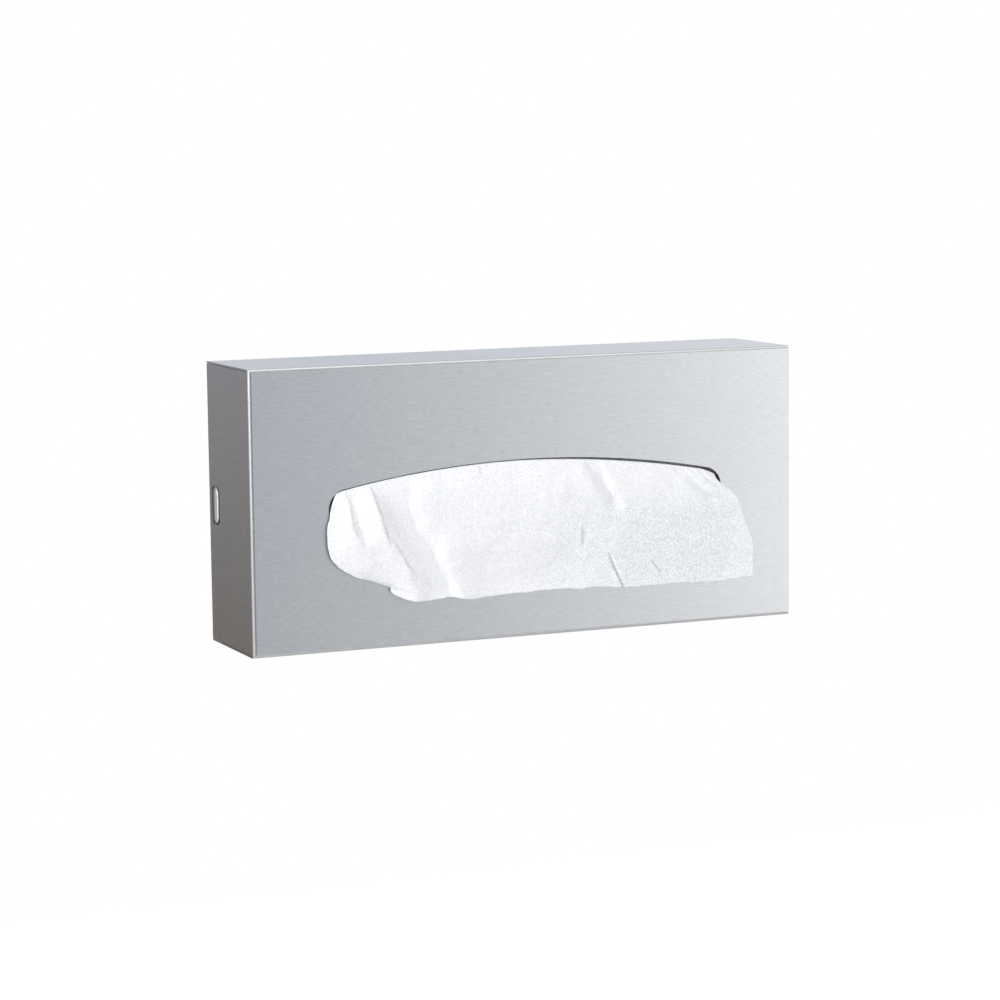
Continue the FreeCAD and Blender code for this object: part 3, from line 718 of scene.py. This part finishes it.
def tissue_finish():
    material, tree, shader = new_material(
        "tissue_sheet_finish", Roughness=0.95, Subsurface_Weight=0.12, Subsurface_Radius=(1.0, 0.9, 0.9),
        Subsurface_Scale=0.0012, Sheen_Weight=0.08, Specular_IOR_Level=0.25)
    crepe = speckle(tree, object_places(tree, CREPE), detail=3.0, roughness=0.6)
    dimples = speckle(tree, object_places(tree), scale=1150.0)
    mixed = weigh(tree, CREPE_SHARE, crepe, dimples)
    # Painted shade: the lower right part gets greyer hollows and a cooler white.
    lower_shade = lower_shade_part(tree)
    hollow = blend_colour(tree, lower_shade, HOLLOW, HOLLOW_LOWER_SHADE)
    raised = blend_colour(tree, lower_shade, RAISED, RAISED_LOWER_SHADE)
    # The crepe's hollows get the darker colour, as painted shade.
    tinted = blend_colour(tree, ramp(tree, mixed, *TISSUE_RANGE), hollow, raised)
    tree.links.new(tinted, shader.inputs["Base Color"])
    bump(tree, shader, mixed, distance=0.0005)
    return material


tissue.data.materials.append(tissue_finish())
print("finishes", [m.name for m in bpy.data.materials if m.name.endswith("_finish")])

# %% [markdown]
# Each latch hangs on a flat leaf spring: a strip riveted to the bracket above, with the button at its free
# end. When the button is pushed in the strip bends between the lower rivet and the button, so it is made
# again here as a strip with many cross lines across that stretch.

# %% Leaf springs
# Sizes of the strip in millimetres, and the heights between which it bends in metres.
LEAF_CORNER, LEAF_CORNER_STEPS = 4.0, 8
LEAF_RIM, LEAF_RIM_STEPS = 0.12, 2
LEAF_FIXED, LEAF_FREE, LEAF_MARGIN = 0.044, 0.006, 0.004
LEAF_CUTS = 30
SMOOTH_BELOW = math.radians(30)

spring_finish = steel("spring_steel_finish", colour=(0.47, 0.47, 0.48), roughness=0.28, fine=3000.0)


def leaf_spring(side):
    """A thin plate in the spring's place, with round corners and cross lines where it bends."""
    low, high = (Vector(corner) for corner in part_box(side + "_latch_spring"))
    bpy.ops.object.select_all(action="DESELECT")
    bpy.ops.mesh.primitive_cube_add(size=1, location=(low + high) / 2, scale=high - low)
    leaf = bpy.context.object
    leaf.name = side + "_leaf"
    bpy.ops.object.transform_apply(location=True, rotation=True, scale=True)
    bpy.ops.object.mode_set(mode="EDIT")
    bpy.ops.mesh.select_mode(type="EDGE")
    bpy.ops.mesh.select_all(action="DESELECT")
    bpy.ops.object.mode_set(mode="OBJECT")
    # The four edges that run through the plate's thickness are its corners.
    for edge in leaf.data.edges:
        a, b = (leaf.data.vertices[i].co for i in edge.vertices)
        edge.select = abs(a.x - b.x) > 0.5 * (high.x - low.x)
    bpy.ops.object.mode_set(mode="EDIT")
    bpy.ops.mesh.bevel(offset=LEAF_CORNER * MM, segments=LEAF_CORNER_STEPS)
    for height in np.linspace(LEAF_FREE - LEAF_MARGIN, LEAF_FIXED + LEAF_MARGIN, LEAF_CUTS):
        bpy.ops.mesh.select_all(action="SELECT")
        bpy.ops.mesh.bisect(plane_co=(0, 0, height), plane_no=(0, 0, 1))
    bpy.ops.object.mode_set(mode="OBJECT")
    rim = leaf.modifiers.new("rim", "BEVEL")
    rim.width = LEAF_RIM * MM
    rim.segments = LEAF_RIM_STEPS
    rim.limit_method = "ANGLE"
    bpy.ops.object.modifier_apply(modifier=rim.name)
    bpy.ops.object.shade_smooth_by_angle(angle=SMOOTH_BELOW)
    leaf.data.materials.append(spring_finish)
    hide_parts(side + "_latch_spring")
    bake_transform(leaf)
    print(leaf.name, len(leaf.data.polygons), "faces")


for side in ("left", "right"):
    leaf_spring(side)
